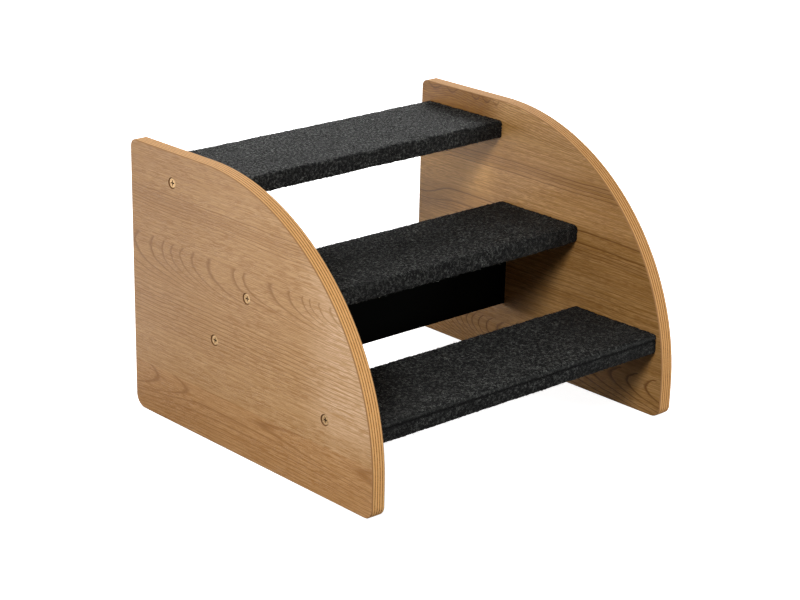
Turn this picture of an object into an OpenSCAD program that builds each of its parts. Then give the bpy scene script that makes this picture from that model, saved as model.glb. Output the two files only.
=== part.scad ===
// Pet stairs: two curved plywood side panels joined by three felt-covered
// treads and a black cross brace, held with countersunk screws and dowels.
// X runs across the width, Y from front to back and Z up from the floor.
// The origin is on the floor, midway between the panels and their edges.

/* [Side panels] */
// Height of each side panel
panel_height = 325; // [310:1:400]
// Depth of each side panel from its front edge to its back edge
panel_depth = 421; // [412:1:480]
// Thickness of the plywood
panel_thickness = 18; // [15:1:24]
// Radius of the big curve that joins the top edge to the front edge
curve_radius = 286; // [240:1:300]
// Radius of the rounded corner at the top of the back edge
back_top_radius = 9; // [4:1:20]
// Radius of the rounded corner at the foot of the back edge
back_foot_radius = 15; // [5:1:24]
// Radius of the rounded corner at the foot of the front edge
front_foot_radius = 13; // [5:1:20]
// Width of the small bevel sanded along both sides of the panel edge
arris = 0.8; // [0.4:0.1:1.5]
// Clear width between the two panels
inner_width = 430; // [300:5:600]

/* [Treads] */
// Height of the bottom tread's walking face above the floor
first_rise = 101.5; // [90:0.5:105]
// Height of the panels' top edge above the top tread's walking face
top_lip = 24.5; // [15:0.5:35]
// Distance from front to back between one tread and the next
run = 132.5; // [125:0.5:134]
// Distance from the panels' front edge to the front of the bottom tread
tread_setback = 12; // [6:1:18]
// Depth of each tread board
board_depth = 126; // [100:1:130]
// Thickness of each tread board
board_thickness = 16; // [12:1:18]
// Radius of the board's long edges
board_edge_radius = 2; // [1:0.5:3]

/* [Felt covers] */
// Thickness of the felt from the board to its outer face
felt_thickness = 3; // [2:0.5:4]
// Gap left where the two edges of one felt cover meet
felt_joint = 0.8; // [0.4:0.1:2]
// Depth of the felt joint below the walking face
felt_joint_drop = 7; // [6.5:0.5:11]

/* [Cross brace] */
// Height of the cross brace
brace_height = 107; // [90:1:120]
// Thickness of the cross brace
brace_thickness = 16; // [12:1:18]
// Width of the small bevel along the brace's long edges
brace_arris = 0.6; // [0.3:0.1:1]

/* [Screws] */
// Overall length of a screw
screw_length = 50; // [40:1:60]
// Diameter of the screw over its thread
screw_diameter = 5.5; // [4.5:0.1:6]
// Depth of the thread, from its crest to its root
thread_depth = 0.8; // [0.5:0.1:1]
// Distance from one turn of the thread to the next
thread_pitch = 2.6; // [2.2:0.1:3.5]
// Length of the screw's tapered point
screw_point = 6; // [4:0.5:8]
// Diameter of the screw head
head_diameter = 11; // [10:0.1:12]
// Height of the straight rim round the top of the head
head_rim = 0.4; // [0.2:0.1:0.6]
// Diameter of the countersink at the panel's outer face
countersink_diameter = 13.4; // [12.2:0.1:15]
// Width of each slot of the cross recess
recess_width = 1.5; // [1:0.1:2]
// Length across the cross recess at the top of the head
recess_span = 6.4; // [5:0.1:7]
// Depth of the cross recess
recess_depth = 2.6; // [1.5:0.1:3]

/* [Dowels] */
// Diameter of a dowel
dowel_diameter = 8; // [6:0.5:9]
// Length of dowel inside the panel
dowel_in_panel = 10.5; // [8:0.5:12]
// Length of dowel inside the board
dowel_in_board = 19.5; // [15:0.5:25]
// Bevel at each end of a dowel
dowel_bevel = 1; // [0.5:0.1:1.5]
// Number of grooves that let glue escape
dowel_flutes = 10; // [6:1:14]
// Radius of each groove
flute_radius = 0.5; // [0.3:0.1:0.6]
// Distance from a tread's screw to each of its dowels
tread_dowel_offset = 42; // [25:1:45]
// Distance from the brace's screw to each of its dowels
brace_dowel_offset = 32; // [20:1:35]

/* [Hidden] */
// Gap between the felt and what it lies against
felt_gap = 0.2;
// Gap between the ends of the felt and the panels
felt_end_gap = 0.3;
// Gap between the brace and the felt above it
brace_gap = 0.3;
// Gap between a screw and its hole
screw_gap = 0.1;
// Gap round a dowel in its hole
dowel_gap = 0.1;
// Gap at each end of a dowel
dowel_end_gap = 0.5;
// How far cuts run past the faces that they open
overrun = 1;
// Roundness of curved faces
$fn = 96;

// Treads are numbered from 0, the bottom one, up to the top one
tread_count = 3;
middle_tread = 1;

wood_colour = [0.72, 0.56, 0.41];
board_colour = [0.66, 0.55, 0.42];
felt_colour = [0.17, 0.17, 0.18];
brace_colour = [0.05, 0.05, 0.05];
screw_colour = [0.82, 0.70, 0.48];
dowel_colour = [0.85, 0.73, 0.53];

back_y = panel_depth / 2;
front_y = -panel_depth / 2;
inner_x = inner_width / 2;
outer_x = inner_x + panel_thickness;
curve_centre = [back_y - (panel_depth - curve_radius), panel_height - curve_radius];

tread_depth = board_depth + 2 * felt_thickness;
tread_thickness = board_thickness + 2 * felt_thickness;
board_length = inner_width;
// Height from one tread's walking face to the next
rise = (panel_height - top_lip - first_rise) / (tread_count - 1);

brace_top_z = tread_top_z(middle_tread) - tread_thickness - brace_gap;
brace_back_y = tread_centre_y(middle_tread) + tread_depth / 2;
brace_centre = [brace_back_y - brace_thickness / 2, brace_top_z - brace_height / 2];

head_cone = (head_diameter - screw_diameter) / 2;
head_sink = (countersink_diameter - head_diameter) / 2 - screw_gap;
thread_root = screw_diameter / 2 - thread_depth;
thread_start = panel_thickness - head_sink;
thread_turns = floor((screw_length - screw_point - thread_start) / thread_pitch);

// Height of a tread's walking face
function tread_top_z(step) = first_rise + step * rise;

// Middle of a tread from front to back
function tread_centre_y(step) =
    front_y + tread_setback + tread_depth / 2 + step * run;

// Middle of a tread board, where its screws go in: [y, z]
function tread_centre(step) =
    [tread_centre_y(step), tread_top_z(step) - tread_thickness / 2];

// Places of a tread's two dowels, in front of and behind its screw
function tread_dowels(step) =
    [for (side = [-1, 1]) tread_centre(step) + [side * tread_dowel_offset, 0]];

// Places of the brace's two dowels, below and above its screw
function brace_dowels() =
    [for (side = [-1, 1]) brace_centre + [0, side * brace_dowel_offset]];

// Stands a shape drawn in [y, z] on its side, with its thickness along +X
module across() {
    rotate([90, 0, 90]) children();
}

// Rounds one corner of an outline: removes what lies outside the circle
module corner_cut(radius) {
    difference() {
        square(radius + overrun);
        circle(radius);
    }
}

// Outline of a side panel in [y, z]
module panel_outline() {
    foot = panel_height - curve_radius;
    difference() {
        union() {
            intersection() {
                translate(curve_centre) circle(curve_radius, $fn = 360);
                translate([front_y, foot]) square(curve_radius);
            }
            translate([front_y, 0]) square([panel_depth, foot]);
            translate([curve_centre[0], 0]) square([panel_depth - curve_radius, panel_height]);
        }
        translate([back_y - back_top_radius, panel_height - back_top_radius])
            corner_cut(back_top_radius);
        translate([back_y - back_foot_radius, back_foot_radius])
            mirror([0, 1]) corner_cut(back_foot_radius);
        translate([front_y + front_foot_radius, front_foot_radius])
            rotate(180) corner_cut(front_foot_radius);
    }
}

// Section of a bevel cutter for an edge whose side wall is at the given place
module bevel_section(wall, bevel) {
    polygon([
        [wall - bevel - overrun, -overrun],
        [wall + overrun, -overrun],
        [wall + overrun, bevel + overrun]
    ]);
}

// Cuts the bevel along an arc of the panel edge
module arc_bevel(centre, radius, start, turn) {
    translate(centre) rotate(start)
        rotate_extrude(angle = turn, $fn = 360) bevel_section(radius, arris);
}

// Cuts the bevel along a straight run of edge that starts at a point and
// goes off at an angle, with the panel on its left
module straight_bevel(start, heading, length, bevel) {
    translate(start) rotate(heading) rotate([90, 0, 90])
        linear_extrude(length) mirror([1, 0]) bevel_section(0, bevel);
}

// Cuts the bevel all round one face of a panel
module panel_bevel() {
    foot = panel_height - curve_radius;
    arc_bevel(curve_centre, curve_radius, 90, 90);
    arc_bevel([back_y - back_top_radius, panel_height - back_top_radius], back_top_radius, 0, 90);
    arc_bevel([back_y - back_foot_radius, back_foot_radius], back_foot_radius, 270, 90);
    arc_bevel([front_y + front_foot_radius, front_foot_radius], front_foot_radius, 180, 90);
    straight_bevel([front_y + front_foot_radius, 0], 0,
        panel_depth - front_foot_radius - back_foot_radius, arris);
    straight_bevel([back_y, back_foot_radius], 90,
        panel_height - back_foot_radius - back_top_radius, arris);
    straight_bevel([back_y - back_top_radius, panel_height], 180,
        panel_depth - curve_radius - back_top_radius, arris);
    straight_bevel([front_y, foot], 270, foot - front_foot_radius, arris);
}

// Outline of half a screw: [distance from the axis, depth below its head]
function screw_outline(gap) = let(
    shank = screw_diameter / 2 + gap,
    root = thread_root + gap,
    half_pitch = thread_pitch / 2,
    thread_end = thread_start + thread_turns * thread_pitch
) concat(
    [
        [0, 0],
        [head_diameter / 2 + gap, 0],
        [head_diameter / 2 + gap, head_rim],
        [shank, head_rim + head_cone],
        [shank, thread_start],
        [root, thread_start]
    ],
    [for (turn = [0 : thread_turns - 1], part = [0, 1]) [
        part == 0 ? shank : root,
        thread_start + (turn + (part + 1) / 2) * thread_pitch
    ]],
    [
        [root, max(thread_end, screw_length - screw_point) + gap],
        [0, screw_length + gap]
    ]
);

// A countersunk screw at the origin, its head at the top and its point down
module screw() {
    difference() {
        mirror([0, 0, 1]) rotate_extrude() polygon(screw_outline(0));
        cross_recess();
    }
}

// The tapered cross recess in a screw's head
module cross_recess() {
    intersection() {
        for (turn = [0, 90])
            rotate(turn) translate([-recess_span / 2, -recess_width / 2, -recess_depth])
                cube([recess_span, recess_width, recess_depth + overrun]);
        translate([0, 0, -recess_depth])
            cylinder(h = recess_depth + overrun, r1 = recess_width / 2, r2 = recess_span / 2 + overrun);
    }
}

// Puts children where a screw's head lies, pointing into the left panel
module at_screw(place) {
    translate([-outer_x + head_sink, place[0], place[1]]) rotate([0, -90, 0]) children();
}

// The hole that a screw cuts for itself, with the countersink at its mouth
module screw_hole(place) {
    at_screw(place) {
        mirror([0, 0, 1]) rotate_extrude() polygon(screw_outline(screw_gap));
        translate([0, 0, -screw_gap])
            cylinder(
                h = screw_gap + head_sink + overrun,
                r1 = head_diameter / 2,
                r2 = countersink_diameter / 2 + overrun
            );
    }
}

// A fluted dowel that lies along X, across the joint at the left panel
module dowel(place) {
    length = dowel_in_panel + dowel_in_board;
    translate([-inner_x - dowel_in_panel, place[0], place[1]]) rotate([0, 90, 0])
        difference() {
            rotate_extrude() polygon([
                [0, 0],
                [dowel_diameter / 2 - dowel_bevel, 0],
                [dowel_diameter / 2, dowel_bevel],
                [dowel_diameter / 2, length - dowel_bevel],
                [dowel_diameter / 2 - dowel_bevel, length],
                [0, length]
            ]);
            for (flute = [0 : dowel_flutes - 1])
                rotate(flute * 360 / dowel_flutes) translate([dowel_diameter / 2, 0, -overrun])
                    cylinder(h = length + 2 * overrun, r = flute_radius, $fn = 16);
        }
}

// The hole for a dowel, in the panel and in the end of the board
module dowel_hole(place) {
    depth = dowel_in_panel + dowel_in_board + 2 * dowel_end_gap;
    translate([-inner_x - dowel_in_panel - dowel_end_gap, place[0], place[1]])
        rotate([0, 90, 0]) cylinder(h = depth, r = dowel_diameter / 2 + dowel_gap);
}

// Every hole at the left ends of the treads and the brace
module panel_holes() {
    for (step = [0 : tread_count - 1]) {
        screw_hole(tread_centre(step));
        for (place = tread_dowels(step)) dowel_hole(place);
    }
    screw_hole(brace_centre);
    for (place = brace_dowels()) dowel_hole(place);
}

// Repeats children on the left and, mirrored, on the right
module both_sides() {
    children();
    mirror([1, 0, 0]) children();
}

// The left side panel
module left_panel() {
    difference() {
        translate([-outer_x, 0, 0]) across() linear_extrude(panel_thickness) panel_outline();
        translate([-outer_x, 0, 0]) across() panel_bevel();
        mirror([1, 0, 0]) translate([inner_x, 0, 0]) across() panel_bevel();
        panel_holes();
    }
}

module side_panel_left() {
    color(wood_colour) left_panel();
}

module side_panel_right() {
    color(wood_colour) mirror([1, 0, 0]) left_panel();
}

// A rectangle about the origin with rounded corners
module rounded_rectangle(size, radius) {
    inner = size - [2 * radius, 2 * radius];
    square([size[0], inner[1]], center = true);
    square([inner[0], size[1]], center = true);
    for (side = [-1, 1], end = [-1, 1])
        translate([side * inner[0] / 2, end * inner[1] / 2]) circle(radius);
}

// A tread board with its pilot holes
module tread_board(step) {
    color(board_colour) difference() {
        translate([-board_length / 2, tread_centre(step)[0], tread_centre(step)[1]]) across()
            linear_extrude(board_length)
                rounded_rectangle([board_depth, board_thickness], board_edge_radius);
        both_sides() {
            screw_hole(tread_centre(step));
            for (place = tread_dowels(step)) dowel_hole(place);
        }
    }
}

module tread_board_bottom() {
    tread_board(0);
}

module tread_board_middle() {
    tread_board(middle_tread);
}

module tread_board_top() {
    tread_board(tread_count - 1);
}

// One sheet of felt wrapped right round a board: its two edges meet in a
// joint along the tread's front (facing = -1) or back (facing = 1)
module felt_cover(step, facing) {
    length = inner_width - 2 * felt_end_gap;
    joint_z = tread_thickness / 2 - felt_joint_drop;
    color(felt_colour)
        translate([-length / 2, tread_centre(step)[0], tread_centre(step)[1]]) across()
            linear_extrude(length) difference() {
                rounded_rectangle([tread_depth, tread_thickness],
                    board_edge_radius + felt_thickness);
                rounded_rectangle(
                    [board_depth + 2 * felt_gap, board_thickness + 2 * felt_gap],
                    board_edge_radius + felt_gap);
                translate([facing * tread_depth / 2, joint_z])
                    square([2 * felt_thickness, felt_joint], center = true);
            }
}

module felt_cover_bottom() {
    felt_cover(0, -1);
}

module felt_cover_middle() {
    felt_cover(middle_tread, 1);
}

module felt_cover_top() {
    felt_cover(tread_count - 1, 1);
}

// A rectangle of the given half size about the origin with bevelled corners
module bevelled_rectangle(half, bevel) {
    polygon([for (corner = [[1, 1], [-1, 1], [-1, -1], [1, -1]], end = [0, 1]) let(
        tall = (end == 0) == (corner[0] == corner[1])
    ) [
        corner[0] * (half[0] - (tall ? 0 : bevel)),
        corner[1] * (half[1] - (tall ? bevel : 0))
    ]]);
}

// The black board that braces the panels under the back of the middle tread
module cross_brace() {
    color(brace_colour) difference() {
        translate([-board_length / 2, brace_centre[0], brace_centre[1]]) across()
            linear_extrude(board_length)
                bevelled_rectangle([brace_thickness, brace_height] / 2, brace_arris);
        both_sides() {
            screw_hole(brace_centre);
            for (place = brace_dowels()) dowel_hole(place);
        }
    }
}

// The pair of screws at the two ends of one board
module screw_pair(place) {
    color(screw_colour) both_sides() at_screw(place) screw();
}

module bottom_tread_screws() {
    screw_pair(tread_centre(0));
}

module middle_tread_screws() {
    screw_pair(tread_centre(middle_tread));
}

module top_tread_screws() {
    screw_pair(tread_centre(tread_count - 1));
}

module cross_brace_screws() {
    screw_pair(brace_centre);
}

// The dowels at the two ends of one board
module dowel_set(places) {
    color(dowel_colour) both_sides() for (place = places) dowel(place);
}

module bottom_tread_dowels() {
    dowel_set(tread_dowels(0));
}

module middle_tread_dowels() {
    dowel_set(tread_dowels(middle_tread));
}

module top_tread_dowels() {
    dowel_set(tread_dowels(tread_count - 1));
}

module cross_brace_dowels() {
    dowel_set(brace_dowels());
}

side_panel_left();
side_panel_right();
tread_board_bottom();
tread_board_middle();
tread_board_top();
felt_cover_bottom();
felt_cover_middle();
felt_cover_top();
cross_brace();
bottom_tread_screws();
middle_tread_screws();
top_tread_screws();
cross_brace_screws();
bottom_tread_dowels();
middle_tread_dowels();
top_tread_dowels();
cross_brace_dowels();
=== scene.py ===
import math
import random

import bpy
from mathutils import Matrix, Vector


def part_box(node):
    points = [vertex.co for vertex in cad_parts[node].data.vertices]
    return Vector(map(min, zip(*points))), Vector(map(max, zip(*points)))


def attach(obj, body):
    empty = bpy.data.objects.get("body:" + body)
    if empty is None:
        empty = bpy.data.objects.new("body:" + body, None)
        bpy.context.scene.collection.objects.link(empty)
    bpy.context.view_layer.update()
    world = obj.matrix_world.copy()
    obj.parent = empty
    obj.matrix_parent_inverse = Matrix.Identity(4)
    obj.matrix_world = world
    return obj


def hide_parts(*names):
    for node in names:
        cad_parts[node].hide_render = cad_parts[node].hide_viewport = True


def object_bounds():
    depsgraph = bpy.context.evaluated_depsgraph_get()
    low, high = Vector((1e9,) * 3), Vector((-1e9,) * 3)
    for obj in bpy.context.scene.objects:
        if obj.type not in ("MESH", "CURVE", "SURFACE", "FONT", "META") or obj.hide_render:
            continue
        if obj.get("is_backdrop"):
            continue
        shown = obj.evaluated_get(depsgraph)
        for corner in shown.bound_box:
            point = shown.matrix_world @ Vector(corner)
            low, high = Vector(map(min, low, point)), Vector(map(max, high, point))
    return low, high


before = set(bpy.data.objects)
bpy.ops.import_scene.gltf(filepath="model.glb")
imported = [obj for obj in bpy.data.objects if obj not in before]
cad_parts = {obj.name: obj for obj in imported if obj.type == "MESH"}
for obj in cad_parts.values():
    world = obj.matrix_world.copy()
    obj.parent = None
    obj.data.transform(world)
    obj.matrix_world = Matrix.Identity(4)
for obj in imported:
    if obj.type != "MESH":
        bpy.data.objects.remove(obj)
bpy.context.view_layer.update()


# Camera
# It stands to the front left of the stairs, a little above them, where the photograph was
# taken, with a long lens. The shift keeps the stairs in the place that they have in the frame.

aim_point = Vector((-0.3601, -0.2379, 0.1625))
camera_distance = 2.1025
camera_azimuth = math.radians(-39.68)
camera_elevation = math.radians(22.54)
camera_roll = math.radians(0.27)
lens_length = 96.98
sensor_width = 36
frame_shift = (0.1304, 0.1451)

look_direction = Vector((
    -math.sin(camera_azimuth) * math.cos(camera_elevation),
    math.cos(camera_azimuth) * math.cos(camera_elevation),
    -math.sin(camera_elevation),
))
camera_turn = (
    Matrix.Rotation(camera_azimuth, 4, "Z")
    @ Matrix.Rotation(math.pi / 2 - camera_elevation, 4, "X")
    @ Matrix.Rotation(camera_roll, 4, "Z")
)
camera_data = bpy.data.cameras.new("camera")
camera_data.lens = lens_length
camera_data.sensor_width = sensor_width
camera_data.shift_x, camera_data.shift_y = frame_shift
camera = bpy.data.objects.new("camera", camera_data)
camera.matrix_world = Matrix.Translation(aim_point - camera_distance * look_direction) @ camera_turn
bpy.context.scene.collection.objects.link(camera)
bpy.context.scene.camera = camera
bpy.context.scene.view_settings.view_transform = "Standard"


# Studio
# A wide white floor under soft lamps: a key lamp and a weak one at the left, two at the front
# for the curved edges, and three behind, for the sheen on the felt and the gloss on the wood.

floor_size = 14
floor_drop = 0.0002
floor_white = (0.93, 0.93, 0.93, 1)
floor_glow = 0.92
floor_bounce = (0.12, 0.12, 0.12, 1)
room_light = 0.02
lamp_aim = Vector((0, 0, 0.15))

# The white that the gloss of the wood mirrors: some of the room's, and little of the floor's near
# the stairs, as their painted shade, but more further off and in a painted pool of light behind them.
mirrored_room = 0.3
mirrored_floor = (0.05, 0.55)
shade_reach = (0.28, 0.72)
light_pool = (-0.20, 0.58, 0.0)
pool_reach = (0.08, 0.35)


def add_node(tree, kind, inputs=None, **settings):
    """Adds a node with its options set. Each input is a value, or the socket that feeds it."""
    node = tree.nodes.new(kind)
    for name, value in settings.items():
        setattr(node, name, value)
    for key, value in (inputs or {}).items():
        if isinstance(value, bpy.types.NodeSocket):
            tree.links.new(value, node.inputs[key])
        else:
            node.inputs[key].default_value = value
    return node


def calc(tree, operation, *values):
    """A Math node's result. Each value is a number or a socket."""
    return add_node(tree, "ShaderNodeMath", dict(enumerate(values)), operation=operation).outputs[0]


def ramp(tree, value, start, end, low, high, shape="LINEAR"):
    """Runs from low, where value is start, to high, where value is end."""
    inputs = {0: value, 1: start, 2: end, 3: low, 4: high}
    return add_node(tree, "ShaderNodeMapRange", inputs, interpolation_type=shape).outputs[0]


def new_material(name):
    """A material with only its output node, as (material, node tree, output node)."""
    material = bpy.data.materials.new(name)
    material.use_nodes = True
    material.node_tree.nodes.clear()
    output = add_node(material.node_tree, "ShaderNodeOutputMaterial")
    return material, material.node_tree, output


def softbox(name, place, width, height, watts):
    """A rectangular studio lamp at a place, facing the stairs."""
    lamp_data = bpy.data.lights.new(name, "AREA")
    lamp_data.shape = "RECTANGLE"
    lamp_data.size = width
    lamp_data.size_y = height
    lamp_data.energy = watts
    lamp = bpy.data.objects.new(name, lamp_data)
    lamp.location = place
    lamp.rotation_euler = (lamp_aim - Vector(place)).to_track_quat("-Z", "Y").to_euler()
    bpy.context.scene.collection.objects.link(lamp)


def bright_share(tree, in_gloss):
    """How much of a white surface a ray meets: all for the camera, in_gloss for mirrored light."""
    ray = add_node(tree, "ShaderNodeLightPath").outputs
    gloss_part = calc(tree, "MULTIPLY", ray["Is Glossy Ray"], in_gloss)
    return calc(tree, "MAXIMUM", ray["Is Camera Ray"], gloss_part)


softbox("key_lamp", place=(-1.90, -0.95, 1.68), width=0.7, height=0.7, watts=36)
softbox("left_lamp", place=(-2.30, 0.30, 0.70), width=1.4, height=0.5, watts=4)
softbox("right_edge_lamp", place=(1.20, -2.00, 0.65), width=0.6, height=0.8, watts=21)
softbox("front_edge_lamp", place=(0.30, -2.40, 0.50), width=1.0, height=0.6, watts=11)
softbox("low_back_lamp", place=(-1.90, 1.70, 0.35), width=1.4, height=0.5, watts=17)
softbox("high_back_lamp", place=(0.0, 1.30, 1.90), width=2.0, height=0.5, watts=10)
softbox("right_back_lamp", place=(1.40, 1.60, 1.30), width=1.0, height=0.8, watts=41)

bpy.ops.object.select_all(action="DESELECT")
bpy.ops.mesh.primitive_plane_add(size=floor_size, location=(0, 0, -floor_drop))
floor = bpy.context.active_object
floor.name = "studio_floor"
bpy.ops.object.transform_apply(location=True, rotation=True, scale=True)

floor_material, tree, output = new_material("floor_white")
white_floor = add_node(tree, "ShaderNodeAddShader", {
    0: add_node(tree, "ShaderNodeBsdfDiffuse", {"Color": floor_white}).outputs[0],
    1: add_node(tree, "ShaderNodeEmission", {"Strength": floor_glow}).outputs[0],
})
dim_floor = add_node(tree, "ShaderNodeBsdfDiffuse", {"Color": floor_bounce})
floor_place = add_node(tree, "ShaderNodeTexCoord").outputs["Object"]
from_stairs = add_node(tree, "ShaderNodeVectorMath", {0: floor_place}, operation="LENGTH")
from_pool = add_node(tree, "ShaderNodeVectorMath", {0: floor_place, 1: light_pool}, operation="DISTANCE")
unshaded = ramp(tree, from_stairs.outputs["Value"], *shade_reach, *mirrored_floor)
in_pool = ramp(tree, from_pool.outputs["Value"], *pool_reach, 1.0, 0.0)
floor_mix = add_node(tree, "ShaderNodeMixShader", {
    0: bright_share(tree, in_gloss=calc(tree, "ADD", unshaded, in_pool)),
    1: dim_floor.outputs[0],
    2: white_floor.outputs[0],
})
tree.links.new(floor_mix.outputs[0], output.inputs["Surface"])
floor.data.materials.append(floor_material)
floor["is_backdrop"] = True

room = bpy.data.worlds.new("white_room")
bpy.context.scene.world = room
room.use_nodes = True
tree = room.node_tree
room_strength = add_node(tree, "ShaderNodeMix", {
    0: bright_share(tree, in_gloss=mirrored_room),
    "A": room_light,
    "B": 1.0,
})
tree.links.new(room_strength.outputs["Result"], tree.nodes["Background"].inputs["Strength"])
tree.nodes["Background"].inputs["Color"].default_value = (1, 1, 1, 1)


# Side panels
# Two boards of 18 mm plywood with a light brown veneer on both faces and a clear matt
# lacquer. They are sawn to one outline, and their plies show all the way round the edge.

# Sizes in materials are in millimetres. The screws' places are their Y and Z, in the order
# bottom, middle and top tread, and brace. A surface faces an axis when more than facing_share
# of its normal lies along that axis.
panel_inner_face = 215.0
panel_middle = 224.0
half_board = 9.0
veneer_depth = 1.4
ply_depth = 1.69
screw_places = ((-132.5, 90.5), (0.0, 190.0), (132.5, 289.5), (58.0, 125.2))
countersink_reach = 6.4
facing_share = 0.9
no_tint = (1, 1, 1, 1)


def screen_colour(red, green, blue):
    """The colour that a screen shows for these 0 to 255 values, as the nodes take it."""
    steps = (red / 255, green / 255, blue / 255)
    return tuple(c / 12.92 if c < 0.04 else ((c + 0.055) / 1.055) ** 2.4 for c in steps) + (1,)


def fade(tree, value, start, end, low=0.0, high=1.0):
    """A ramp that starts and ends softly."""
    return ramp(tree, value, start, end, low, high, shape="SMOOTHSTEP")


def band(tree, value, middle, half_width):
    """1 at the middle of a band, and down to 0 at its sides."""
    off = calc(tree, "ABSOLUTE", calc(tree, "SUBTRACT", value, middle))
    return fade(tree, off, 0.0, half_width, 1.0, 0.0)


def greatest(tree, first, *others):
    """The greatest of several numbers."""
    for other in others:
        first = calc(tree, "MAXIMUM", first, other)
    return first


def blend(tree, share, first, second, kind="MIX"):
    """Two colours mixed, with that share of the second."""
    node = add_node(tree, "ShaderNodeMix", data_type="RGBA", blend_type=kind)
    for socket, value in zip((node.inputs[0], node.inputs[6], node.inputs[7]), (share, first, second)):
        if isinstance(value, bpy.types.NodeSocket):
            tree.links.new(value, socket)
        else:
            socket.default_value = value
    return node.outputs[2]


def choose(tree, share, first, second):
    """Two numbers mixed, with that share of the second."""
    return add_node(tree, "ShaderNodeMix", {0: share, 2: first, 3: second}).outputs[0]


def split(tree, vector):
    """A vector's parts, as the sockets X, Y and Z."""
    return add_node(tree, "ShaderNodeSeparateXYZ", {0: vector}).outputs


def specks(tree, place, stretch, detail=2.0, roughness=0.5):
    """Noise from 0 to 1. Stretch says how many of its grains go into a millimetre on each axis."""
    stretched = add_node(tree, "ShaderNodeVectorMath", {0: place, 1: stretch}, operation="MULTIPLY")
    inputs = {"Vector": stretched.outputs[0], "Scale": 1.0, "Detail": detail, "Roughness": roughness}
    return add_node(tree, "ShaderNodeTexNoise", inputs).outputs[0]


def sway(tree, place, stretch, reach):
    """Slow noise about zero that pushes a pattern up to about half of reach to either side."""
    return calc(tree, "MULTIPLY", calc(tree, "SUBTRACT", specks(tree, place, stretch), 0.5), reach)


def new_group(name, inputs, outputs):
    """An empty node group with these named sockets, as (group, its inputs, its outputs)."""
    group = bpy.data.node_groups.new(name, "ShaderNodeTree")
    for in_out, sockets in (("INPUT", inputs), ("OUTPUT", outputs)):
        for socket, kind in sockets.items():
            group.interface.new_socket(socket, in_out=in_out, socket_type="NodeSocket" + kind)
    group_inputs = group.nodes.new("NodeGroupInput").outputs
    group_outputs = group.nodes.new("NodeGroupOutput").inputs
    return group, group_inputs, group_outputs


def place_group(tree, group, inputs):
    """Puts a node group into a tree, with its inputs linked by name, and gives its outputs."""
    node = add_node(tree, "ShaderNodeGroup", node_tree=group)
    for key, value in inputs.items():
        tree.links.new(value, node.inputs[key])
    return node.outputs


def place_in_millimetres(tree):
    """The surface point in the stairs' own frame, in millimetres."""
    here = add_node(tree, "ShaderNodeTexCoord").outputs["Object"]
    return add_node(tree, "ShaderNodeVectorMath", {0: here, "Scale": 1000.0}, operation="SCALE").outputs[0]


# The rings group turns a count of growth rings into their dark late wood: a thin line that
# starts sharply and fades away to one side.
line_start = 0.88
line_tail = 0.20
shade_tail = 0.50
shade_share = 0.12
ring_group, ring_in, ring_out = new_group("growth_rings", {"Count": "Float"}, {"Late wood": "Float"})
ring_part = calc(ring_group, "FRACT", ring_in["Count"])
ring_start = fade(ring_group, ring_part, line_start, 1.0)
ring_tail = fade(ring_group, ring_part, 0.0, line_tail, 1.0 - shade_share, 0.0)
ring_shade = fade(ring_group, ring_part, 0.0, shade_tail, shade_share, 0.0)
ring_line = calc(ring_group, "MAXIMUM", ring_start, calc(ring_group, "ADD", ring_tail, ring_shade))
ring_group.links.new(ring_line, ring_out["Late wood"])

# The fibres group holds what the wood shows between its rings: fine streaks, short open
# pores and slow changes of tone, all along Y.
fibre_group, fibre_in, fibre_out = new_group(
    "wood_fibres", {"Place": "Vector"}, {"Streaks": "Float", "Pores": "Float", "Tone": "Float"}
)
fibre_place = fibre_in["Place"]
streak_noise = specks(fibre_group, fibre_place, (0.70, 0.016, 1.10), detail=2)
pore_noise = specks(fibre_group, fibre_place, (0.80, 0.080, 1.35), detail=1)
pore_patches = specks(fibre_group, fibre_place, (0.2, 0.010, 0.05), detail=1)
pore_strength = fade(fibre_group, pore_patches, 0.38, 0.58, 0.6, 1.0)
pore_mask = calc(fibre_group, "MULTIPLY", fade(fibre_group, pore_noise, 0.44, 0.58), pore_strength)
tone_noise = specks(fibre_group, fibre_place, (0.05, 0.0025, 0.05), detail=2)
fibre_group.links.new(streak_noise, fibre_out["Streaks"])
fibre_group.links.new(pore_mask, fibre_out["Pores"])
fibre_group.links.new(tone_noise, fibre_out["Tone"])


def late_wood_lines(tree, field, rings):
    """The late wood of growth rings that lie where a field has the values in rings."""
    share = add_node(tree, "ShaderNodeMapRange", {0: field, 1: rings[0], 2: rings[-1]}, clamp=False)
    count = add_node(tree, "ShaderNodeFloatCurve", {"Value": share.outputs[0]})
    count.mapping.use_clip = False
    count.mapping.extend = "EXTRAPOLATED"
    curve = count.mapping.curves[0]
    last = len(rings) - 1
    for number in range(1, last):
        curve.points.new((rings[number] - rings[0]) / (rings[-1] - rings[0]), number / last)
    for point in curve.points:
        point.handle_type = "VECTOR"
    count.mapping.update()
    ring_count = calc(tree, "MULTIPLY", count.outputs[0], last)
    return place_group(tree, ring_group, {"Count": ring_count})["Late wood"]


def crown_leaf(tree, y, z, crown, rings):
    """Late wood of a leaf cut beside the heart: arches with their tops at the height crown.

    The legs of the arches run off low to -Y: straight at first, then ever flatter, and wider
    towards the front.
    """
    straight_slope = 0.31
    flat_depth = 8.2
    below = calc(tree, "ABSOLUTE", calc(tree, "SUBTRACT", crown, z))
    straight_part = calc(tree, "MULTIPLY", below, straight_slope)
    flat_part = calc(tree, "POWER", calc(tree, "DIVIDE", below, flat_depth), 3.0)
    front_width = fade(tree, y, 40.0, -60.0, 1.0, 1.6)
    leg = calc(tree, "MULTIPLY", calc(tree, "ADD", straight_part, flat_part), front_width)
    return late_wood_lines(tree, calc(tree, "ADD", y, leg), rings)


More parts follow.
